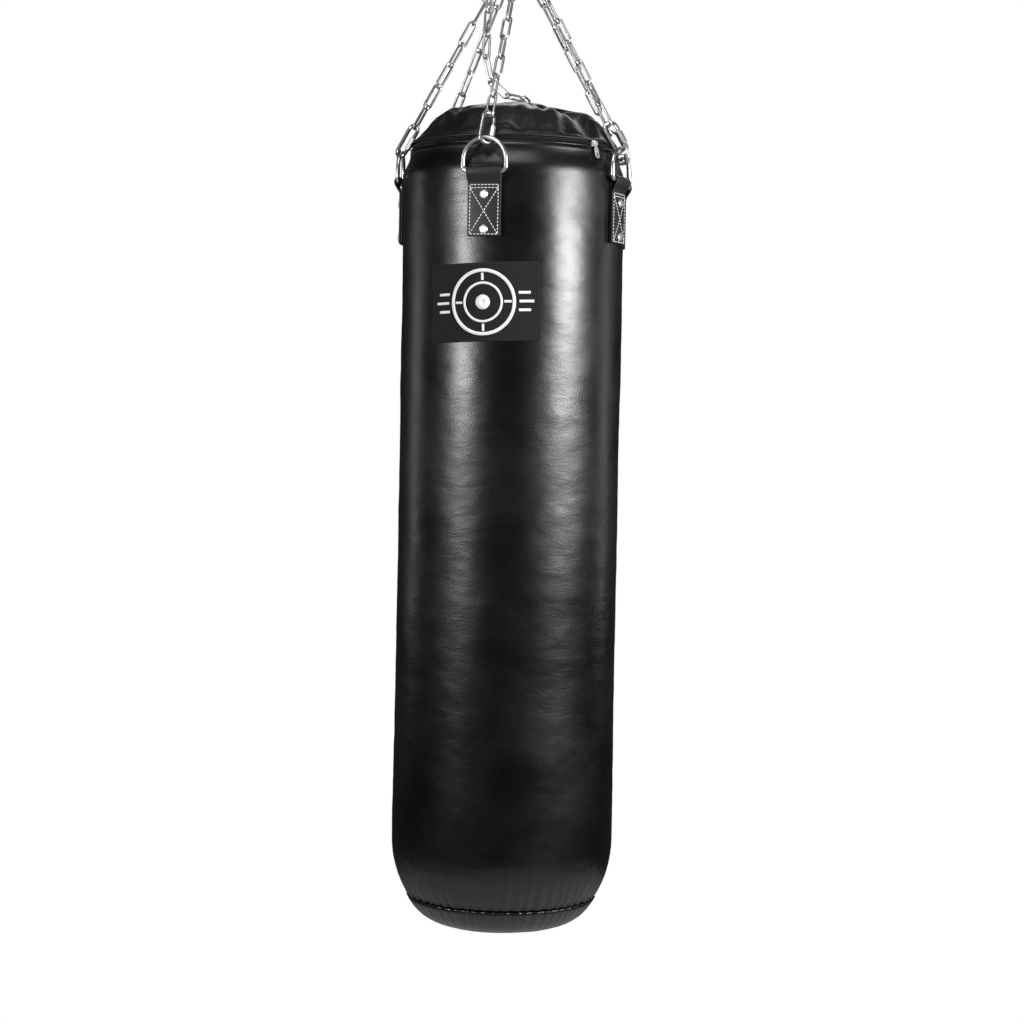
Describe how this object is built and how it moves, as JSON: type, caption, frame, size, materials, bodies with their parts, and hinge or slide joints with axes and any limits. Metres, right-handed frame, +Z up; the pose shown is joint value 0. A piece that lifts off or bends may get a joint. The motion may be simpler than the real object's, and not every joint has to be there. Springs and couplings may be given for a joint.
{
  "type": "punching bag",
  "caption": "Hanging heavy punching bag: leather cylinder with a soft domed cap, riveted straps, D-rings, quick links, long-link chains, a master ring and a ball-bearing swivel with an eye.",
  "frame": {"origin": "centre of the hanging eye's bore, with the bag hanging straight down", "axes": "+Z up along the bag's axis, +Y along the hanging eye's bore and away from the front strap, +X to the right of the front strap"},
  "size_m": [0.376, 0.3781, 1.7016],
  "materials": {
    "black_leather": "satin",
    "soft_black": "matte",
    "patch": "matte",
    "zip_fabric": "matte",
    "zip_metal": "satin",
    "zip_plastic": "satin",
    "foam": "matte",
    "filling": "matte",
    "zinc": "polished",
    "nickel": "polished",
    "steel": "satin"
  },
  "bodies": {
    "swivel_housing": {"hanging_eye": "steel", "swivel_cup": "steel", "bearing_race_lower": "steel", "bearing_balls": "steel"},
    "swivel_shank": {"swivel_shank": "steel", "shank_nut": "steel", "bearing_race_upper": "steel"},
    "master_ring": {"master_ring": "zinc"},
    "bag": {"leather_shell": "black_leather", "base_panel": "black_leather", "top_cap": "soft_black", "zip_tape": "zip_fabric", "zip_teeth": "zip_plastic", "label_patch": "patch", "liner": "zip_fabric", "foam_wrap": "foam", "filling": "filling", "top_pad": "foam", "base_pad": "foam", "strap_rivets": "nickel", "rivet_washers": "nickel", "strap_front": "black_leather", "strap_right": "black_leather", "strap_back_right": "black_leather", "strap_back": "black_leather", "strap_back_left": "black_leather", "strap_left": "black_leather", "quick_link_front": "zinc", "quick_link_right": "zinc", "quick_link_back_right": "zinc", "quick_link_back": "zinc", "quick_link_back_left": "zinc", "quick_link_left": "zinc", "chain_front": "zinc", "chain_right": "zinc", "chain_back_right": "zinc", "chain_back": "zinc", "chain_back_left": "zinc", "chain_left": "zinc"},
    "zip_slider": {"zip_slider": "zip_metal"},
    "zip_pull": {"zip_pull": "zip_metal"},
    "d_ring_front": {"d_ring_front": "zinc"},
    "link_sleeve_front": {"link_sleeve_front": "nickel"},
    "d_ring_right": {"d_ring_right": "zinc"},
    "link_sleeve_right": {"link_sleeve_right": "nickel"},
    "d_ring_back_right": {"d_ring_back_right": "zinc"},
    "link_sleeve_back_right": {"link_sleeve_back_right": "nickel"},
    "d_ring_back": {"d_ring_back": "zinc"},
    "link_sleeve_back": {"link_sleeve_back": "nickel"},
    "d_ring_back_left": {"d_ring_back_left": "zinc"},
    "link_sleeve_back_left": {"link_sleeve_back_left": "nickel"},
    "d_ring_left": {"d_ring_left": "zinc"},
    "link_sleeve_left": {"link_sleeve_left": "nickel"}
  },
  "joints": [
    {"name": "swivel_spin", "type": "hinge", "parent": "swivel_housing", "child": "swivel_shank", "pos_m": [0, 0, 0], "axis": [0, 0, 1], "continuous": true},
    {"name": "ring_swing", "type": "hinge", "parent": "swivel_shank", "child": "master_ring", "pos_m": [0, 0, -0.0932], "axis": [1, 0, 0], "range_deg": [-35, 35]},
    {"name": "bag_swing", "type": "hinge", "parent": "master_ring", "child": "bag", "pos_m": [0, 0, -0.1317], "axis": [0, 1, 0], "range_deg": [-25, 25]},
    {"name": "d_ring_rock_front", "type": "hinge", "parent": "bag", "child": "d_ring_front", "pos_m": [0, -0.1797, -0.51163], "axis": [1, 0, 0], "range_deg": [-1, 1]},
    {"name": "d_ring_rock_right", "type": "hinge", "parent": "bag", "child": "d_ring_right", "pos_m": [0.17697, -0.03121, -0.51163], "axis": [0.1736, 0.9848, 0], "range_deg": [-1, 1]},
    {"name": "d_ring_rock_back_right", "type": "hinge", "parent": "bag", "child": "d_ring_back_right", "pos_m": [0.15563, 0.08985, -0.51163], "axis": [-0.5, 0.866, 0], "range_deg": [-1, 1]},
    {"name": "d_ring_rock_back", "type": "hinge", "parent": "bag", "child": "d_ring_back", "pos_m": [0, 0.1797, -0.51163], "axis": [-1, 0, 0], "range_deg": [-1, 1]},
    {"name": "d_ring_rock_back_left", "type": "hinge", "parent": "bag", "child": "d_ring_back_left", "pos_m": [-0.15563, 0.08985, -0.51163], "axis": [-0.5, -0.866, 0], "range_deg": [-1, 1]},
    {"name": "d_ring_rock_left", "type": "hinge", "parent": "bag", "child": "d_ring_left", "pos_m": [-0.17697, -0.03121, -0.51163], "axis": [0.1736, -0.9848, 0], "range_deg": [-1, 1]},
    {"name": "sleeve_travel_front", "type": "slide", "parent": "bag", "child": "link_sleeve_front", "axis": [0, 0.5223, 0.8528], "range_m": [0, 0.009]},
    {"name": "sleeve_travel_right", "type": "slide", "parent": "bag", "child": "link_sleeve_right", "axis": [-0.4736, 0.092, 0.8759], "range_m": [0, 0.009]},
    {"name": "sleeve_travel_back_right", "type": "slide", "parent": "bag", "child": "link_sleeve_back_right", "axis": [-0.4307, -0.2635, 0.8632], "range_m": [0, 0.009]},
    {"name": "sleeve_travel_back", "type": "slide", "parent": "bag", "child": "link_sleeve_back", "axis": [0, -0.515, 0.8572], "range_m": [0, 0.009]},
    {"name": "sleeve_travel_back_left", "type": "slide", "parent": "bag", "child": "link_sleeve_back_left", "axis": [0.4307, -0.2635, 0.8632], "range_m": [0, 0.009]},
    {"name": "sleeve_travel_left", "type": "slide", "parent": "bag", "child": "link_sleeve_left", "axis": [0.4736, 0.092, 0.8759], "range_m": [0, 0.009]},
    {"name": "zip_travel", "type": "hinge", "parent": "bag", "child": "zip_slider", "pos_m": [0, 0, -0.45963], "axis": [0, 0, 1], "range_deg": [-45, 0]},
    {"name": "zip_pull_swing", "type": "hinge", "parent": "zip_slider", "child": "zip_pull", "pos_m": [0.14617, -0.07772, -0.45963], "axis": [-0.4695, -0.8829, 0], "range_deg": [0, 110]}
  ]
}
